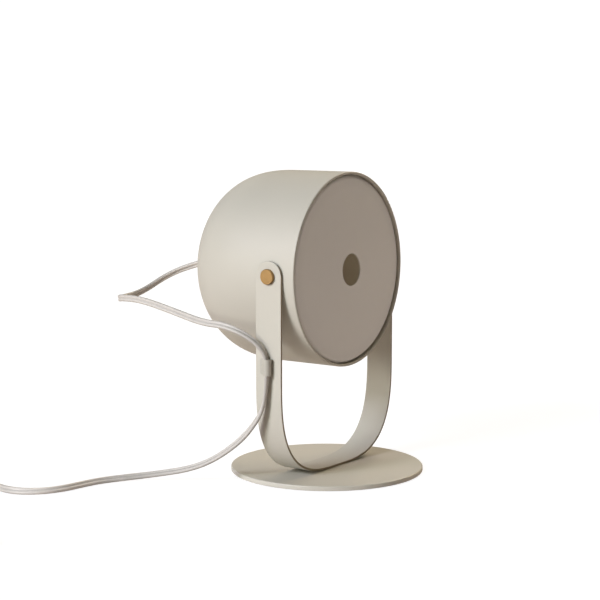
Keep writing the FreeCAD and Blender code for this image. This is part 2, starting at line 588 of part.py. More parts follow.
# hook-and-loop tie round the coil, on the side away from the plug
tie_out = turned_z([(COIL_RI - 1.2, 0.1), (COIL_RO + 1.2, 0.1), (COIL_RO + 1.2, COIL_Z1 + 1.1),
                    (COIL_RI - 1.2, COIL_Z1 + 1.1)], cx, cy, 17)
tie_in = turned_z([(COIL_RI - 0.1, COIL_Z0 - 0.1), (COIL_RO + 0.1, COIL_Z0 - 0.1), (COIL_RO + 0.1, COIL_Z1 + 0.1),
                   (COIL_RI - 0.1, COIL_Z1 + 0.1)], cx, cy, 17)
tie = tie_out.cut(tie_in)
tie.rotate(V(cx, cy, 0), V(0, 0, 1), -68)
save("coil_tie", tie)

# ---------------------------------------------------------- in-line switch
def rounded_box(x0, x1, y0, y1, z0, z1, rv, rh):
    b = box(x0, x1, y0, y1, z0, z1)
    b = b.makeFillet(rv, [e for e in b.Edges if e.BoundBox.ZLength > (z1 - z0) * 0.9])
    if rh:
        b = b.makeFillet(rh, [e for e in b.Edges if abs(e.BoundBox.ZMin - z1) < 1e-6])
    return b


sx0, sx1 = SW_X - SW_LEN / 2, SW_X + SW_LEN / 2
sy0, sy1 = SW_Y - SW_W / 2, SW_Y + SW_W / 2
upper_sw = rounded_box(sx0, sx1, sy0, sy1, SW_SPLIT, SW_H, 8.0, 2.0)
upper_sw = upper_sw.cut(rounded_box(sx0 + 2, sx1 - 2, sy0 + 2, sy1 - 2, SW_SPLIT - 1, SW_H - 2, 6.0, 0))
lower_sw = rounded_box(sx0, sx1, sy0, sy1, 0.0, SW_SPLIT, 8.0, 0)
low_edges = [e for e in lower_sw.Edges if e.BoundBox.ZMax < 1e-6]
lower_sw = lower_sw.makeFillet(1.5, low_edges)
lower_sw = lower_sw.cut(rounded_box(sx0 + 2, sx1 - 2, sy0 + 2, sy1 - 2, 2.0, SW_SPLIT + 1, 6.0, 0))
ROCK_Z = 12.5
# ears that carry the rocker's pins
for s in (-1, 1):
    ya, yb = SW_Y + s * 5.7, SW_Y + s * 8.2
    upper_sw = upper_sw.fuse(box(SW_X - 3, SW_X + 3, min(ya, yb), max(ya, yb), 10.2, SW_H - 1.5))
posts = [(SW_X - 19.0, SW_Y + 7.0), (SW_X + 19.0, SW_Y - 7.0)]
for px, py in posts:
    upper_sw = upper_sw.fuse(cyl(2.9, (px, py, SW_SPLIT), (px, py, SW_H - 1.5)))
    lower_sw = lower_sw.fuse(cyl(3.4, (px, py, 1.0), (px, py, SW_SPLIT)))
upper_sw = upper_sw.cut(box(SW_X - 8.8, SW_X + 8.8, SW_Y - 5.5, SW_Y + 5.5, SW_H - 3, SW_H + 1))
upper_sw = upper_sw.cut(cyl(1.26, (SW_X, SW_Y - 7.4, ROCK_Z), (SW_X, SW_Y + 7.4, ROCK_Z)))
screws = []
for px, py in posts:
    upper_sw = upper_sw.cut(cyl(1.25, (px, py, SW_SPLIT - 1), (px, py, SW_H - 2.4)))
    lower_sw = lower_sw.cut(cyl(1.6, (px, py, -1), (px, py, SW_SPLIT + 1)))
    lower_sw = lower_sw.cut(cyl(2.7, (px, py, -1), (px, py, 2.6)))
    head = cyl(2.5, (px, py, 0.8), (px, py, 2.5))
    slot = box(px - 0.35, px + 0.35, py - 3, py + 3, 0.5, 1.5).fuse(box(px - 3, px + 3, py - 0.35, py + 0.35, 0.5, 1.5))
    screws.append(head.fuse(cyl(1.24, (px, py, 2.4), (px, py, SW_H - 3.0))).cut(slot))
# cord entries, half in each shell
entry = cyl(4.6, (sx0 - 1, SW_Y, SW_SPLIT), (sx0 + 3, SW_Y, SW_SPLIT)).fuse(
    cyl(4.6, (sx1 - 3, SW_Y, SW_SPLIT), (sx1 + 1, SW_Y, SW_SPLIT)))
upper_sw = upper_sw.cut(entry)
lower_sw = lower_sw.cut(entry)
save("switch_upper_shell", upper_sw)
save("switch_lower_shell", lower_sw)
save("switch_screws", group(screws))
bushes = []
for s, xe in ((-1, sx0), (1, sx1)):
    b = cyl(4.5, (xe - s * 2.0, SW_Y, SW_SPLIT), (xe, SW_Y, SW_SPLIT))
    b = b.fuse(Part.makeCone(5.6, 4.4, 6.0, V(xe, SW_Y, SW_SPLIT), V(s, 0, 0)))
    b = b.cut(cyl(2.2, (xe - s * 3, SW_Y, SW_SPLIT), (xe + s * 7, SW_Y, SW_SPLIT)))
    bushes.append(b)
save("switch_bushings", group(bushes))
contacts = []
for s in (-1, 1):
    yy = SW_Y + s * 3.6
    c = box(SW_X - 13, SW_X + 13, yy - 1.5, yy + 1.5, 2.1, 2.9)
    for xe in (-12.0, 10.0):
        c = c.fuse(box(SW_X + xe, SW_X + xe + 2.0, yy - 1.5, yy + 1.5, 2.1, 6.4))
    contacts.append(c)
save("switch_contacts", group(contacts))
rw = 5.1
prof = [(-8.0, -1.6), (-2.0, -3.6), (2.0, -3.6), (8.0, -1.6), (8.0, 5.0), (4.0, 3.95), (0.0, 3.6), (-4.0, 3.95), (-8.0, 5.0)]
pp = [(SW_X + a, SW_Y - rw, ROCK_Z + b) for a, b in prof]
rocker = Part.Face(Part.makePolygon([V(*p) for p in pp + [pp[0]]])).extrude(V(0, 2 * rw, 0))
rocker = rocker.makeFillet(0.5, [e for e in rocker.Edges if e.BoundBox.ZMin > ROCK_Z + 4.9 and e.BoundBox.YLength > 5])
rocker = rocker.fuse(cyl(1.2, (SW_X, SW_Y - 7.2, ROCK_Z), (SW_X, SW_Y + 7.2, ROCK_Z)))
rocker.rotate(V(SW_X, SW_Y, ROCK_Z), V(0, 1, 0), ROCK_REST)
save("switch_rocker", rocker)

# ------------------------------------------------------------------- plug
def oval(w, h, y, zc=PLUG_Z, xc=PLUG_X):
    """Rounded section of the plug in a plane square to the cord."""
    r = min(w, h) / 2 * 0.72
    x0, x1, z0, z1 = xc - w / 2, xc + w / 2, zc - h / 2, zc + h / 2
    q = r * (1 - s45)
    e = [
        line((x0 + r, y, z0), (x1 - r, y, z0)), arc((x1 - r, y, z0), (x1 - q, y, z0 + q), (x1, y, z0 + r)),
        line((x1, y, z0 + r), (x1, y, z1 - r)), arc((x1, y, z1 - r), (x1 - q, y, z1 - q), (x1 - r, y, z1)),
        line((x1 - r, y, z1), (x0 + r, y, z1)), arc((x0 + r, y, z1), (x0 + q, y, z1 - q), (x0, y, z1 - r)),
        line((x0, y, z1 - r), (x0, y, z0 + r)), arc((x0, y, z0 + r), (x0 + q, y, z0 + q), (x0 + r, y, z0)),
    ]
    return Part.Wire(e)


PF, PB = PLUG_FACE_Y, PLUG_BODY_Y0
plug = Part.makeLoft([oval(26, 16, PF), oval(26, 16, PF + 3)], True, True)
plug = plug.fuse(Part.makeLoft([oval(26, 16, PF + 3), oval(20, 14, PF + 11), oval(19, 13.4, PF + 22),
                                oval(15, 12, PB - 2), oval(11.5, 10.5, PB)], True, False))
plug = plug.fuse(Part.makeCone(5.2, 4.2, PLUG_BOOT_Y0 - PB, V(PLUG_X, PB, PLUG_Z), V(0, 1, 0)))
for k in range(4):
    yy = PB + 3.5 + 4.6 * k
    rr = 5.2 - (yy - PB) / (PLUG_BOOT_Y0 - PB) * 1.0
    plug = plug.cut(Part.makeTorus(rr + 0.25, 0.7, V(PLUG_X, yy, PLUG_Z), V(0, 1, 0)))
blades = []
for s, w in ((-1, 6.3), (1, 7.9)):
    xb = PLUG_X + s * 6.35
    b = box(xb - 0.75, xb + 0.75, BLADE_END_Y, PF + 8.0, PLUG_Z - w / 2, PLUG_Z + w / 2)
    tip = [e for e in b.Edges if e.BoundBox.YMax < BLADE_END_Y + 1e-6 and e.BoundBox.XLength < 1.6 and e.BoundBox.ZLength < 1e-6]
    b = b.makeChamfer(0.7, tip)
    b = b.cut(cyl(1.6, (xb - 3, BLADE_END_Y + 4.5, PLUG_Z), (xb + 3, BLADE_END_Y + 4.5, PLUG_Z)))
    blades.append(b)
    plug = plug.cut(box(xb - 0.75, xb + 0.75, PF - 1, PF + 8.0, PLUG_Z - w / 2, PLUG_Z + w / 2))
save("plug_body", plug)
save("plug_blades", group(blades))
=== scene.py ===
import bpy
import bmesh
import json
import math
from mathutils import Matrix, Vector


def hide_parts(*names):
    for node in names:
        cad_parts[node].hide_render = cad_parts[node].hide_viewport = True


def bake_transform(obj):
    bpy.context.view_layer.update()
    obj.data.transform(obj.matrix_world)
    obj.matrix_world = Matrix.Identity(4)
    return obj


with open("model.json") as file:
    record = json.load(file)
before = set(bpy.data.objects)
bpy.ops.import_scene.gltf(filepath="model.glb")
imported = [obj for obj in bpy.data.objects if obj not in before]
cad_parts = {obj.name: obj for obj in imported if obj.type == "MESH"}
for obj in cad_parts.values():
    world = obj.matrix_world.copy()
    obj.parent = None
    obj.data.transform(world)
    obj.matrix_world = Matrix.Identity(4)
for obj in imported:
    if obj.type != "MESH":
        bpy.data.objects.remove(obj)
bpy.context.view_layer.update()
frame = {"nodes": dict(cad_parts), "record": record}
N = frame["nodes"]


scene = bpy.context.scene

# ------------------------------------------------------------------ camera
PIVOT = Vector((0.0, 0.0, 0.2072))
AZ, EL = math.radians(-54.83), math.radians(7.10)
back = Vector((math.sin(AZ) * math.cos(EL), -math.cos(AZ) * math.cos(EL), math.sin(EL)))
right = Vector((math.cos(AZ), math.sin(AZ), 0.0))
up = back.cross(right)
aim = Vector((0.0, 0.0, 0.171)) + right * -0.02747 + up * 0.00352
eye = aim + back * 1.6145
cam_data = bpy.data.cameras.new("camera")
cam_data.lens = 95.80
cam_data.sensor_width = 36.0
cam_data.sensor_fit = "HORIZONTAL"
cam_data.clip_start = 0.05
cam_data.clip_end = 60
cam = bpy.data.objects.new("camera", cam_data)
cam.matrix_world = Matrix((
    (right.x, up.x, back.x, eye.x),
    (right.y, up.y, back.y, eye.y),
    (right.z, up.z, back.z, eye.z),
    (0, 0, 0, 1)))
scene.collection.objects.link(cam)
scene.camera = cam

# ------------------------------------------------------------------- cord
# The route's control points, millimetres, with the direction that the flat
# cord's wide side points to there.
UPR = (0.0, 0.0, 1.0)
ROUTE = [
    ((0.0, 151.8, 205.1), (0.0, 0.21, 0.98)), ((0.0, 173.4, 200.5), (-0.46, -0.03, 0.89)),
    ((-10.5, 200.9, 188.6), (-0.67, -0.02, 0.75)), ((-35.5, 216.5, 170.6), (-0.65, -0.04, 0.76)),
    ((-74.5, 212.4, 168.4), (-0.47, -0.03, 0.88)), ((-102.2, 188.6, 174.0), (0.1, 0.06, 0.99)),
    ((-107.7, 154.9, 175.2), (0.20, -0.07, 0.98)), ((-108.5, 110.8, 166.2), (0.29, -0.20, 0.94)),
    ((-117.2, 68.2, 159.4), (0.34, -0.13, 0.93)), ((-118.7, 36.2, 159.1), (0.65, -0.09, 0.76)),
    ((-110.4, 10.2, 146.7), (0.93, 0.16, 0.34)), ((-105.0, -0.9, 131.4), (0.97, 0.22, 0.12)),
    ((-105.1, -2.1, 111.8), (0.975, 0.22, 0.0)), ((-105.4, 1.8, 82.2), (0.82, 0.56, 0.08)),
    ((-108.2, 8.5, 67.1), (0.65, 0.70, 0.28)), ((-112.9, 23.3, 47.5), (0.49, 0.68, 0.55)),
    ((-118.7, 50.5, 26.4), (0.62, 0.53, 0.57)), ((-127.0, 75.0, 14.7), (0.68, 0.44, 0.59)),
    ((-138.6, 107.2, 7.4), (0.63, 0.49, 0.60)), ((-165.3, 138.5, 3.55), (0.40, 0.57, 0.71)),
    ((-188.5, 148.4, 3.55), (0.16, 0.72, 0.68)), ((-238.9, 154.3, 3.55), (0.61, 0.51, 0.65)),
    ((-263.6, 184.0, 3.55), (0.46, 0.33, 0.75)), ((-254.1, 225.4, 3.55), (0.18, 0.0, 0.98)), ((-264.1, 249.2, 6.1), (-0.2, -0.4, 0.9)),
    ((-286.0, 262.0, 8.0), (0.0, -0.8, 0.6)), ((-302.0, 264.0, 8.4), (0.0, -1.0, 0.1)),
]
THROUGH_SWITCH = [((-318.0, 264.0, 8.4), (0.0, -1.0, 0.0)), ((-348.0, 264.0, 8.4), (0.0, -1.0, 0.0))]
LINK = [
    ((-364.0, 264.0, 8.4), (0.0, -1.0, 0.0)), ((-384.0, 264.0, 7.6), (0.0, -1.0, 0.0)),
    ((-401.5, 254.0, 5.6), (0.6, -0.8, 0.0)), ((-411.5, 236.6, 4.7), (1.0, 0.0, 0.0)),
    ((-411.5, 216.0, 3.4), (1.0, 0.0, 0.0)),
]
TAIL = [
    ((-411.4, 192.0, 6.6), (1.0, 0.0, 0.0)), ((-411.6, 175.0, 7.2), (1.0, 0.0, 0.0)),
    ((-412.0, 157.0, 8.0), (1.0, 0.0, 0.0)), ((-412.0, 140.0, 8.2), (1.0, 0.0, 0.0)),
    ((-412.0, 131.0, 8.2), (1.0, 0.0, 0.0)),
]
# three turns: the outer and the inner one on the table, the last on top
COIL_X, COIL_Y = -367.0, 198.0
STEP = 24
coil = []
for i in range(0, 3 * 360 // STEP):
    a = STEP * (i + 0.75)
    if a < 330:
        r, z = 44.3, 3.0
    elif a < 390:
        s = (a - 330) / 60.0
        s = s * s * (3 - 2 * s)
        r, z = 44.3 - 7.7 * s, 3.0
    elif a < 690:
        r, z = 36.6, 3.0
    elif a < 750:
        s = (a - 690) / 60.0
        s = s * s * (3 - 2 * s)
        r, z = 36.6 + 3.8 * s, 3.0 + 3.6 * s
    elif a < 960:
        r, z = 40.4, 6.6
    else:
        s = (a - 960) / 120.0
        s = s * s * (3 - 2 * s)
        r, z = 40.4 + 3.6 * s, 6.6
    if a > 3 * 360 - 12:
        break
    r /= 0.982
    t = math.radians(180 + a)
    coil.append(((COIL_X + r * math.cos(t), COIL_Y + r * math.sin(t), z), (math.cos(t), math.sin(t), 0.0)))
WHOLE = ROUTE + THROUGH_SWITCH + LINK + coil + TAIL


def nurbs_line(points, name, resolution=10):
    """The points' smooth line: a NURBS spline of order 3 through its ends."""
    data = bpy.data.curves.new(name, "CURVE")
    data.dimensions = "3D"
    sp = data.splines.new("NURBS")
    sp.points.add(len(points) - 1)
    for p, co in zip(sp.points, points):
        p.co = (co[0] / 1000.0, co[1] / 1000.0, co[2] / 1000.0, 1.0)
    sp.order_u = 3
    sp.use_endpoint_u = True
    sp.resolution_u = resolution
    data.resolution_u = resolution
    ob = bpy.data.objects.new(name, data)
    scene.collection.objects.link(ob)
    bpy.context.view_layer.update()
    mesh = bpy.data.meshes.new_from_object(ob)
    line = [v.co.copy() for v in mesh.vertices]
    bpy.data.objects.remove(ob)
    bpy.data.meshes.remove(mesh)
    return line


line = nurbs_line([p for p, _ in WHOLE], "cord_line")


def lengths(line):
    out = [0.0]
    for a, b in zip(line, line[1:]):
        out.append(out[-1] + (b - a).length)
    return out


at = lengths(line)
print("cord length", round(at[-1], 4))

# where along the line each control point has its pull: the closest line point
hints = []
start = 0
for p, h in WHOLE:
    q = Vector(p) / 1000.0
    best = min(range(start, min(len(line), start + 60)), key=lambda i: (line[i] - q).length)
    start = best
    hints.append((at[best], Vector(h).normalized()))


def hint_at(s):
    if s <= hints[0][0]:
        return hints[0][1].copy()
    for (s0, h0), (s1, h1) in zip(hints, hints[1:]):
        if s <= s1:
            if h0.dot(h1) < 0:
                h1 = -h1
            k = (s - s0) / max(s1 - s0, 1e-9)
            return (h0 * (1 - k) + h1 * k).normalized()
    return hints[-1][1].copy()


def section(count=40, w=0.0035, t=0.00175, web=0.00128):
    """Flat two-core section: two round cores side by side, joined by a web."""
    c = w - t
    out = []
    for k in range(count):
        a = 2 * math.pi * k / count
        u = w * math.cos(a)
        round_part = math.sqrt(max(t * t - (abs(u) - c) ** 2, 0.0)) if abs(u) > 0.15 * c else 0.0
        v = max(round_part, web) if abs(u) < c else round_part
        out.append((u, math.copysign(v, math.sin(a)) if abs(math.sin(a)) > 1e-9 else 0.0))
    return out


def sweep(name, line, profile, side_of):
    """A closed tube along line. UVs: u along the line in metres, v round it."""
    n = len(line)
    s = lengths(line)
    me = bpy.data.meshes.new(name)
    verts, prev = [], None
    for i, p in enumerate(line):
        d = (line[min(i + 1, n - 1)] - line[max(i - 1, 0)]).normalized()
        w = side_of(s[i])
        w = (w - d * w.dot(d)).normalized()
        if prev is not None and w.dot(prev) < 0:
            w = -w
        prev = w
        v = d.cross(w)
        verts += [p + w * a + v * b for a, b in profile]
    m = len(profile)
    faces = [(i * m + k, i * m + (k + 1) % m, (i + 1) * m + (k + 1) % m, (i + 1) * m + k)
             for i in range(n - 1) for k in range(m)]
    faces.append(tuple(reversed(range(m))))
    faces.append(tuple((n - 1) * m + k for k in range(m)))
    me.from_pydata(verts, [], faces)
    uv = me.uv_layers.new(name="UVMap")
    li = 0
    for f in me.polygons:
        if f.index < (n - 1) * m:
            i, k = divmod(f.index, m)
            for (ii, kk) in ((i, k), (i, k + 1), (i + 1, k + 1), (i + 1, k)):
                uv.data[li].uv = (s[ii], kk / m)
                li += 1
        else:
            for _ in f.loop_indices:
                uv.data[li].uv = (0, 0)
                li += 1
    for f in me.polygons:
        f.use_smooth = len(f.vertices) == 4
    me.validate()
    me.update()
    ob = bpy.data.objects.new(name, me)
    scene.collection.objects.link(ob)
    return ob


cord = sweep("cord", line, section(), hint_at)

# --------------------------------------------------------------- materials
def new_material(name):
    m = bpy.data.materials.new(name)
    m.use_nodes = True
    nt = m.node_tree
    return m, nt, nt.nodes["Principled BSDF"]


def node(nt, kind, **values):
    n = nt.nodes.new(kind)
    for k, v in values.items():
        if k in n.inputs:
            n.inputs[k].default_value = v
        else:
            setattr(n, k, v)
    return n


def ramp(nt, stops, source):
    r = nt.nodes.new("ShaderNodeValToRGB")
    el = r.color_ramp.elements
    while len(el) > 1:
        el.remove(el[-1])
    el[0].position, el[0].color = stops[0][0], (*stops[0][1], 1)
    for pos, col in stops[1:]:
        e = el.new(pos)
        e.color = (*col, 1)
    nt.links.new(source, r.inputs["Fac"])
    return r.outputs["Color"]


def noise(nt, vector, scale, detail=3.0, rough=0.5):
    n = node(nt, "ShaderNodeTexNoise", Scale=scale, Detail=detail, Roughness=rough)
    nt.links.new(vector, n.inputs["Vector"])
    return n.outputs["Fac"]


def coords(nt):
    return nt.nodes.new("ShaderNodeTexCoord").outputs["Object"]


def shade(c, k):
    return tuple(x * k for x in c)


def math_node(nt, op, a, b=0.0):
    n = nt.nodes.new("ShaderNodeMath")
    n.operation = op
    for i, x in enumerate((a, b)):
        if isinstance(x, (int, float)):
            n.inputs[i].default_value = x
        else:
            nt.links.new(x, n.inputs[i])
    return n.outputs[0]


def coated(name, colour, rough=0.46, grain=1400.0, depth=0.00003, spread=0.03, spec=0.5):
    """Satin powder coat: a fine pebbled skin with slow colour drift."""
    m, nt, b = new_material(name)
    o = coords(nt)
    slow = noise(nt, o, 9.0, 2.0)
    fine = noise(nt, o, grain, 2.0, 0.6)
    mix = math_node(nt, "ADD", math_node(nt, "MULTIPLY", slow, 0.7), math_node(nt, "MULTIPLY", fine, 0.3))
    nt.links.new(ramp(nt, [(0.3, shade(colour, 1 - spread)), (0.7, shade(colour, 1 + spread))], mix), b.inputs["Base Color"])
    nt.links.new(ramp(nt, [(0.3, (rough - 0.03,) * 3), (0.7, (rough + 0.03,) * 3)], fine), b.inputs["Roughness"])
    bump = node(nt, "ShaderNodeBump", Strength=0.35, Distance=depth)
    nt.links.new(fine, bump.inputs["Height"])
    nt.links.new(bump.outputs["Normal"], b.inputs["Normal"])
    b.inputs["Specular IOR Level"].default_value = spec
    return m


def metal(name, colour, rough=0.3, along=(40.0, 1500.0, 1500.0), spread=0.06, depth=0.00002):
    """Worked metal with fine stretched grain."""
    m, nt, b = new_material(name)
    o = coords(nt)
    mp = node(nt, "ShaderNodeMapping")
    mp.inputs["Scale"].default_value = along
    nt.links.new(o, mp.inputs["Vector"])
    g = noise(nt, mp.outputs["Vector"], 1.0, 3.0, 0.6)
    nt.links.new(ramp(nt, [(0.3, shade(colour, 1 - spread)), (0.7, shade(colour, 1 + spread))], g), b.inputs["Base Color"])
    nt.links.new(ramp(nt, [(0.3, (rough - 0.06,) * 3), (0.7, (rough + 0.06,) * 3)], g), b.inputs["Roughness"])
    bump = node(nt, "ShaderNodeBump", Strength=0.3, Distance=depth)
    nt.links.new(g, bump.inputs["Height"])
    nt.links.new(bump.outputs["Normal"], b.inputs["Normal"])
    b.inputs["Metallic"].default_value = 1.0
    return m


def white_inside(m, colour):
    """Turns the faces that look into the head, behind the diffuser, white."""
    nt = m.node_tree
    b = nt.nodes["Principled BSDF"]
    tc = nt.nodes.new("ShaderNodeTexCoord")
    off = nt.nodes.new("ShaderNodeVectorMath")
    off.operation = "SUBTRACT"
    nt.links.new(tc.outputs["Object"], off.inputs[0])
    off.inputs[1].default_value = (0.0, 0.03, PIVOT.z)
    dot = nt.nodes.new("ShaderNodeVectorMath")
    dot.operation = "DOT_PRODUCT"
    nt.links.new(off.outputs[0], dot.inputs[0])
    nt.links.new(tc.outputs["Normal"], dot.inputs[1])
    sep = nt.nodes.new("ShaderNodeSeparateXYZ")
    nt.links.new(tc.outputs["Object"], sep.inputs[0])
    inward = math_node(nt, "LESS_THAN", dot.outputs["Value"], 0.0)
    behind = math_node(nt, "GREATER_THAN", sep.outputs["Y"], -0.0212)
    mix = nt.nodes.new("ShaderNodeMix")
    mix.data_type = "RGBA"
    nt.links.new(math_node(nt, "MULTIPLY", inward, behind), mix.inputs["Factor"])
    link = b.inputs["Base Color"].links[0]
    nt.links.new(link.from_socket, mix.inputs["A"])
    speck = noise(nt, tc.outputs["Object"], 900.0, 2.0, 0.6)
    nt.links.new(ramp(nt, [(0.3, shade(colour, 0.97)), (0.7, shade(colour, 1.02))], speck), mix.inputs["B"])
    nt.links.new(mix.outputs["Result"], b.inputs["Base Color"])
    return m


def shade_painted_edges(m, colour):
    """Painted shade on the strip's two cut edges, which face along Y: they take a darker brown, standing in for the
    shade that falls on them.
    """
    nt = m.node_tree
    b = nt.nodes["Principled BSDF"]
    sep = nt.nodes.new("ShaderNodeSeparateXYZ")
    nt.links.new(nt.nodes.new("ShaderNodeTexCoord").outputs["Normal"], sep.inputs[0])
    # mask of the faces that point along Y, where the painted shade goes
    edge_shade_mask = node(nt, "ShaderNodeMapRange")
    nt.links.new(math_node(nt, "ABSOLUTE", sep.outputs["Y"]), edge_shade_mask.inputs["Value"])
    edge_shade_mask.inputs["From Min"].default_value = 0.6
    edge_shade_mask.inputs["From Max"].default_value = 0.9
    mix = nt.nodes.new("ShaderNodeMix")
    mix.data_type = "RGBA"
    nt.links.new(edge_shade_mask.outputs["Result"], mix.inputs["Factor"])
    link = b.inputs["Base Color"].links[0]
    nt.links.new(link.from_socket, mix.inputs["A"])
    fine = noise(nt, coords(nt), 1100.0, 2.0, 0.6)
    nt.links.new(ramp(nt, [(0.3, shade(colour, 0.94)), (0.7, shade(colour, 1.06))], fine), mix.inputs["B"])
    nt.links.new(mix.outputs["Result"], b.inputs["Base Color"])
    return m


def moulded(name, colour, rough=0.4, grain=900.0, depth=0.00003, spread=0.04, coat=0.0):
    m, nt, b = new_material(name)
    o = coords(nt)
    slow = noise(nt, o, 60.0, 2.0)
    fine = noise(nt, o, grain, 3.0, 0.6)
    nt.links.new(ramp(nt, [(0.3, shade(colour, 1 - spread)), (0.7, shade(colour, 1 + spread))], slow), b.inputs["Base Color"])
    nt.links.new(ramp(nt, [(0.3, (max(rough - 0.05, 0.02),) * 3), (0.7, (rough + 0.05,) * 3)], fine), b.inputs["Roughness"])
    bump = node(nt, "ShaderNodeBump", Strength=0.3, Distance=depth)
    nt.links.new(fine, bump.inputs["Height"])
    nt.links.new(bump.outputs["Normal"], b.inputs["Normal"])
    b.inputs["Coat Weight"].default_value = coat
    return m


def turned_brass(name, colour):
    """Brass faced on a lathe: fine rings round the tilt axis."""
    m, nt, b = new_material(name)
    sep = nt.nodes.new("ShaderNodeSeparateXYZ")
    nt.links.new(coords(nt), sep.inputs[0])
    y = sep.outputs["Y"]
    z = math_node(nt, "SUBTRACT", sep.outputs["Z"], PIVOT.z)
    r = math_node(nt, "SQRT", math_node(nt, "ADD", math_node(nt, "MULTIPLY", y, y), math_node(nt, "MULTIPLY", z, z)))
    comb = nt.nodes.new("ShaderNodeCombineXYZ")
    nt.links.new(math_node(nt, "MULTIPLY", r, 2600.0), comb.inputs[0])
    nt.links.new(math_node(nt, "MULTIPLY", sep.outputs["X"], 600.0), comb.inputs[1])
    g = noise(nt, comb.outputs[0], 1.0, 3.0, 0.6)
    tone = noise(nt, coords(nt), 160.0, 3.0, 0.5)
    mix = math_node(nt, "ADD", math_node(nt, "MULTIPLY", g, 0.5), math_node(nt, "MULTIPLY", tone, 0.5))
    nt.links.new(ramp(nt, [(0.3, shade(colour, 0.9)), (0.7, shade(colour, 1.08))], mix), b.inputs["Base Color"])
    nt.links.new(ramp(nt, [(0.3, (0.30,) * 3), (0.7, (0.42,) * 3)], g), b.inputs["Roughness"])
    bump = node(nt, "ShaderNodeBump", Strength=0.3, Distance=0.00003)
    nt.links.new(g, bump.inputs["Height"])
    nt.links.new(bump.outputs["Normal"], b.inputs["Normal"])
    b.inputs["Metallic"].default_value = 1.0
    return m


BEIGE = (0.50, 0.475, 0.413)
CORD = (0.56, 0.525, 0.485)
# a lighter copy of the cord's colour for where it lies on the table: painted light
CORD_PAINTED_LIGHT = (0.86, 0.80, 0.745)
OPAL = (0.80, 0.79, 0.76)
BOUNCE = (0.68, 0.60, 0.54)
paint = coated("powder_coat", BEIGE)
head_paint = white_inside(coated("powder_coat_head", BEIGE), (0.82, 0.80, 0.76))
# the yoke's paint, with painted shade on its cut edges
strip_paint_edge_shade = shade_painted_edges(coated("powder_coat_strip_edge_shade", BEIGE), (0.27, 0.215, 0.145))
# a lighter copy of the paint for the base: painted light, for the brighter light that falls on its top
base_paint_lightened = coated("powder_coat_base_painted_light", shade(BEIGE, 1.10))
# a darker copy of the paint for the clip and its rivet: painted shade, so the clip stands apart from the arm behind it
clip_paint_darkened = coated("powder_coat_clip_painted_shade", shade(BEIGE, 0.88), rough=0.5)
white_in = coated("inner_white", (0.78, 0.76, 0.72), rough=0.5)
# the pivot caps' brass is a darker copy of brass_thin's tone: painted shade for the dim room that it reflects
brass = turned_brass("brass", (0.37, 0.235, 0.103))
brass_in = metal("brass_thin", (0.72, 0.47, 0.22), 0.32)
zinc = metal("zinc_steel", (0.56, 0.56, 0.55), 0.35)
nickel = metal("nickel", (0.68, 0.67, 0.65), 0.22)
nylon = moulded("nylon", (0.66, 0.64, 0.58), 0.42)
phenolic = moulded("phenolic", (0.018, 0.017, 0.016), 0.34, coat=0.2)
liner_m = moulded("liner", (0.42, 0.30, 0.18), 0.7)
bulb_metal = metal("bulb_metal", (0.70, 0.70, 0.69), 0.3)
rubber = moulded("pad_rubber", (0.028, 0.027, 0.026), 0.8, grain=2500.0, depth=0.0001)
boot_m = moulded("boot_plastic", (0.42, 0.39, 0.35), 0.5)
wire_m = moulded("wire", (0.62, 0.61, 0.58), 0.4)
switch_m = moulded("switch_plastic", (0.50, 0.465, 0.41), 0.38, coat=0.15)
rocker_m = moulded("rocker_plastic", (0.40, 0.37, 0.325), 0.30, coat=0.3)


def opal():
    """Opal acrylic with a satin face; its colour is darkened a little towards its rounded rim: painted shade for the
    ring behind it."""
    m, nt, b = new_material("opal_acrylic")
    o = coords(nt)
    sep = nt.nodes.new("ShaderNodeSeparateXYZ")
    nt.links.new(o, sep.inputs[0])
    z = math_node(nt, "SUBTRACT", sep.outputs["Z"], PIVOT.z)
    x = sep.outputs["X"]
    r = math_node(nt, "SQRT", math_node(nt, "ADD", math_node(nt, "MULTIPLY", x, x), math_node(nt, "MULTIPLY", z, z)))
    r = math_node(nt, "MULTIPLY", r, 10.0)
    nt.links.new(ramp(nt, [(0.0, OPAL), (0.80, OPAL), (0.90, shade(OPAL, 0.96)), (0.94, shade(OPAL, 0.90))], r),
                 b.inputs["Base Color"])
    fine = noise(nt, o, 2200.0, 2.0, 0.6)
    nt.links.new(ramp(nt, [(0.3, (0.44,) * 3), (0.7, (0.52,) * 3)], fine), b.inputs["Roughness"])
    bump = node(nt, "ShaderNodeBump", Strength=0.2, Distance=0.00002)
    nt.links.new(fine, bump.inputs["Height"])
    nt.links.new(bump.outputs["Normal"], b.inputs["Normal"])
    b.inputs["Specular IOR Level"].default_value = 0.35
    return m


def frosted():
    m, nt, b = new_material("frosted_glass")
    o = coords(nt)
    f = noise(nt, o, 900.0, 3.0, 0.6)
    nt.links.new(ramp(nt, [(0.3, (0.80, 0.79, 0.76)), (0.7, (0.88, 0.87, 0.84))], f), b.inputs["Base Color"])
    nt.links.new(ramp(nt, [(0.3, (0.30,) * 3), (0.7, (0.40,) * 3)], f), b.inputs["Roughness"])
    bump = node(nt, "ShaderNodeBump", Strength=0.15, Distance=0.00002)
    nt.links.new(f, bump.inputs["Height"])
    nt.links.new(bump.outputs["Normal"], b.inputs["Normal"])
    # painted light: the bulb's glass glows warm though the lamp is off, standing in for daylight that comes through
    # the opal
    b.inputs["Emission Color"].default_value = (1.0, 0.78, 0.53, 1.0)
    b.inputs["Emission Strength"].default_value = 0.68
    return m


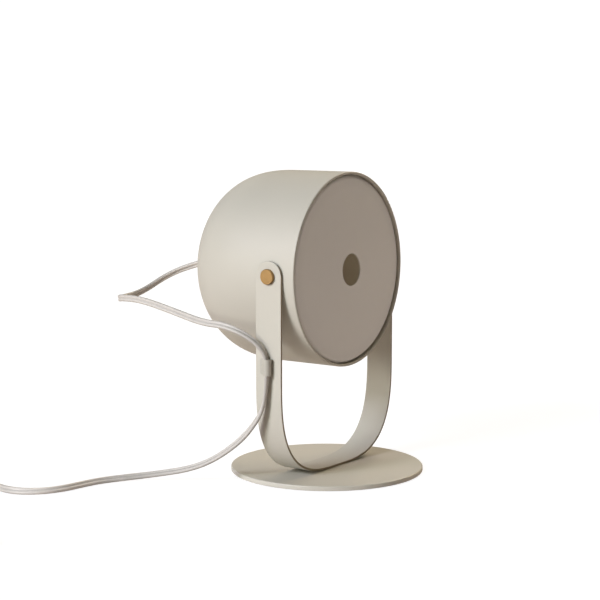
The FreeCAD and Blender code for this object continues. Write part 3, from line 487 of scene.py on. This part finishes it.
def sheathed():
    """Clear sheath over two cores of fine strands. The strands run on the
    slant round each core, so fine lines cross the cord at an angle."""
    m, nt, b = new_material("cord_sheath")
    uv = nt.nodes.new("ShaderNodeUVMap")
    uv.uv_map = "UVMap"
    sep = nt.nodes.new("ShaderNodeSeparateXYZ")
    nt.links.new(uv.outputs["UV"], sep.inputs[0])
    u, v = sep.outputs["X"], sep.outputs["Y"]
    # strand bundles 1.1 mm apart along the cord
    a = math_node(nt, "MULTIPLY", u, 2 * math.pi / 0.0011)
    c = math_node(nt, "MULTIPLY", v, 2 * math.pi * 12)
    s1 = math_node(nt, "SINE", math_node(nt, "ADD", a, c))
    fine = math_node(nt, "SINE", math_node(nt, "MULTIPLY", math_node(nt, "ADD", a, c), 3.0))
    h = math_node(nt, "ADD", math_node(nt, "MULTIPLY", s1, 0.38), math_node(nt, "MULTIPLY", fine, 0.12))
    h = math_node(nt, "ADD", h, 0.5)
    haze = noise(nt, coords(nt), 60.0, 2.0, 0.5)
    # painted highlight and painted shade: bright along the crest of each core, darker in the groove and at the sides
    q = math_node(nt, "ABSOLUTE", math_node(nt, "COSINE", math_node(nt, "MULTIPLY", v, 2 * math.pi)))
    off = math_node(nt, "SUBTRACT", q, 0.5)
    crest_highlight_and_groove_shade = math_node(nt, "SUBTRACT", 1.0, math_node(nt, "MULTIPLY", math_node(nt, "MULTIPLY", off, off), 4.0))
    tone = math_node(nt, "ADD", math_node(nt, "MULTIPLY", h, 0.40), math_node(nt, "MULTIPLY", haze, 0.15))
    tone = math_node(nt, "ADD", tone, math_node(nt, "MULTIPLY", crest_highlight_and_groove_shade, 0.45))
    place = nt.nodes.new("ShaderNodeSeparateXYZ")
    nt.links.new(coords(nt), place.inputs[0])
    # painted light: where it lies on the table, the cord takes a lighter copy of its colour, standing in for the light
    # that falls on it there
    low = nt.nodes.new("ShaderNodeMix")
    low.data_type = "RGBA"
    painted_light_x = node(nt, "ShaderNodeMapRange")
    nt.links.new(place.outputs["X"], painted_light_x.inputs["Value"])
    painted_light_x.inputs["From Min"].default_value = -0.160
    painted_light_x.inputs["From Max"].default_value = -0.190
    painted_light_y = node(nt, "ShaderNodeMapRange")
    nt.links.new(place.outputs["Y"], painted_light_y.inputs["Value"])
    painted_light_y.inputs["From Min"].default_value = 0.195
    painted_light_y.inputs["From Max"].default_value = 0.165
    nt.links.new(math_node(nt, "MULTIPLY", painted_light_x.outputs["Result"], painted_light_y.outputs["Result"]), low.inputs["Factor"])
    nt.links.new(ramp(nt, [(0.1, shade(CORD, 0.62)), (0.5, shade(CORD, 0.90)), (0.9, shade(CORD, 1.15))], tone), low.inputs["A"])
    nt.links.new(ramp(nt, [(0.1, shade(CORD_PAINTED_LIGHT, 0.66)), (0.5, shade(CORD_PAINTED_LIGHT, 0.92)), (0.9, shade(CORD_PAINTED_LIGHT, 1.12))], tone), low.inputs["B"])
    nt.links.new(low.outputs["Result"], b.inputs["Base Color"])
    nt.links.new(ramp(nt, [(0.2, (0.62,) * 3), (0.8, (0.50,) * 3)], h), b.inputs["Roughness"])
    bump = node(nt, "ShaderNodeBump", Strength=0.3, Distance=0.00005)
    nt.links.new(h, bump.inputs["Height"])
    nt.links.new(bump.outputs["Normal"], b.inputs["Normal"])
    b.inputs["Coat Weight"].default_value = 0.15
    b.inputs["Coat Roughness"].default_value = 0.35
    return m


def strap():
    m, nt, b = new_material("hook_loop")
    o = coords(nt)
    f = noise(nt, o, 2600.0, 4.0, 0.7)
    nt.links.new(ramp(nt, [(0.3, (0.012, 0.012, 0.012)), (0.7, (0.045, 0.044, 0.042))], f), b.inputs["Base Color"])
    b.inputs["Roughness"].default_value = 0.9
    bump = node(nt, "ShaderNodeBump", Strength=0.8, Distance=0.0002)
    nt.links.new(f, bump.inputs["Height"])
    nt.links.new(bump.outputs["Normal"], b.inputs["Normal"])
    b.inputs["Sheen Weight"].default_value = 0.4
    return m


sleeve = sheathed()
FINISH = {
    "powder_coat": paint, "inner_white": white_in, "brass": brass_in, "zinc_steel": zinc, "nickel": nickel,
    "opal_acrylic": opal(), "nylon": nylon, "phenolic": phenolic, "liner": liner_m, "bulb_metal": bulb_metal,
    "frosted_glass": frosted(), "pad_rubber": rubber, "boot_plastic": boot_m, "wire": wire_m, "cord_sheath": sleeve,
    "switch_plastic": switch_m, "rocker_plastic": rocker_m, "hook_loop": strap(),
}
for s in frame["record"]["subparts"]:
    ob = N[s["node"]]
    m = FINISH[s["material_slot"]]
    if s["node"].startswith("pivot_screw"):
        m = brass
    if s["node"] == "head_shell":
        m = head_paint
    if s["node"] == "yoke":
        m = strip_paint_edge_shade
    if s["node"] == "base_plate":
        m = base_paint_lightened
    if s["node"] in ("cable_clip", "clip_rivet"):
        m = clip_paint_darkened
    ob.data.materials.clear()
    ob.data.materials.append(m)
N["cord_inner_lead"].data.materials.clear()
N["cord_inner_lead"].data.materials.append(wire_m)

# ------------------------------------------------------------- cord, again
cord.data.materials.append(sleeve)
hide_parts("cord_upper", "cord_lower", "cord_link", "cord_coil", "cord_tail")
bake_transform(cord)

# ------------------------------------------------------------ floor, lights
# The paper sweep: white to look at, and dull and warm as a reflector.
floor_m = bpy.data.materials.new("floor")
floor_m.use_nodes = True
nt = floor_m.node_tree
nt.nodes.clear()
tone = noise(nt, coords(nt), 3.0, 2.0)
bounce = node(nt, "ShaderNodeBsdfDiffuse", Roughness=0.0)
nt.links.new(ramp(nt, [(0.3, shade(BOUNCE, 0.98)), (0.7, shade(BOUNCE, 1.02))], tone), bounce.inputs["Color"])
low = node(nt, "ShaderNodeEmission", Color=(0.93, 0.88, 1.0, 1.0), Strength=0.1)
warm = nt.nodes.new("ShaderNodeAddShader")
nt.links.new(bounce.outputs[0], warm.inputs[0])
nt.links.new(low.outputs[0], warm.inputs[1])
seen = node(nt, "ShaderNodeBsdfDiffuse", Roughness=0.0)
nt.links.new(ramp(nt, [(0.3, (0.215,) * 3), (0.7, (0.225,) * 3)], tone), seen.inputs["Color"])
glow = node(nt, "ShaderNodeEmission", Color=(1.0, 1.0, 1.0, 1.0), Strength=0.90)
both = nt.nodes.new("ShaderNodeAddShader")
nt.links.new(seen.outputs[0], both.inputs[0])
nt.links.new(glow.outputs[0], both.inputs[1])
pick = nt.nodes.new("ShaderNodeMixShader")
nt.links.new(nt.nodes.new("ShaderNodeLightPath").outputs["Is Camera Ray"], pick.inputs["Fac"])
nt.links.new(warm.outputs[0], pick.inputs[1])
nt.links.new(both.outputs[0], pick.inputs[2])
nt.links.new(pick.outputs[0], nt.nodes.new("ShaderNodeOutputMaterial").inputs["Surface"])
me = bpy.data.meshes.new("floor")
me.from_pydata([(-12, -12, 0), (12, -12, 0), (12, 12, 0), (-12, 12, 0)], [], [(0, 1, 2, 3)])
floor = bpy.data.objects.new("floor", me)
floor.data.materials.append(floor_m)
scene.collection.objects.link(floor)


# Soft studio light: wide suns, given by azimuth from +X and elevation in
# degrees, the angle that they subtend, and their strength in red, green, blue.
SUNS = {
    "key": (170, 28, 16, (1.567, 1.791, 1.840)),
    "key_back": (160, 28, 16, (0.855, 0.741, 0.970)),
    "key_low": (160, 8, 20, (1.158, 1.133, 1.017)),
    "key_high": (180, 52, 40, (0.113, 0.111, 0.060)),
    "top_right": (0, 38, 40, (1.800, 1.520, 1.137)),
    "back": (40, 38, 40, (0.213, 0.191, 0.149)),
}
for name, (az, el, wide, rgb) in SUNS.items():
    d = bpy.data.lights.new(name, "SUN")
    d.energy = max(rgb)
    d.color = tuple(c / max(rgb) for c in rgb)
    d.angle = math.radians(wide)
    ob = bpy.data.objects.new(name, d)
    a, e = math.radians(az), math.radians(el)
    ob.rotation_euler = Vector((math.cos(a) * math.cos(e), math.sin(a) * math.cos(e), math.sin(e))).to_track_quat("Z", "Y").to_euler()
    scene.collection.objects.link(ob)

world = bpy.data.worlds.new("world")
scene.world = world
world.use_nodes = True
wn = world.node_tree
wn.nodes.clear()
out = wn.nodes.new("ShaderNodeOutputWorld")
white = node(wn, "ShaderNodeBackground", Color=(1.0, 1.0, 1.0, 1.0), Strength=1.05)
room = node(wn, "ShaderNodeBackground", Color=(1.0, 0.93, 0.84, 1.0), Strength=0.25)
dim = node(wn, "ShaderNodeBackground", Color=(1.0, 0.93, 0.84, 1.0), Strength=0.0)
rays = wn.nodes.new("ShaderNodeLightPath")
lit = wn.nodes.new("ShaderNodeMixShader")
wn.links.new(rays.outputs["Is Glossy Ray"], lit.inputs["Fac"])
wn.links.new(dim.outputs[0], lit.inputs[1])
wn.links.new(room.outputs[0], lit.inputs[2])
both = wn.nodes.new("ShaderNodeMixShader")
wn.links.new(rays.outputs["Is Camera Ray"], both.inputs["Fac"])
wn.links.new(lit.outputs[0], both.inputs[1])
wn.links.new(white.outputs[0], both.inputs[2])
wn.links.new(both.outputs[0], out.inputs["Surface"])
scene.view_settings.view_transform = "Standard"
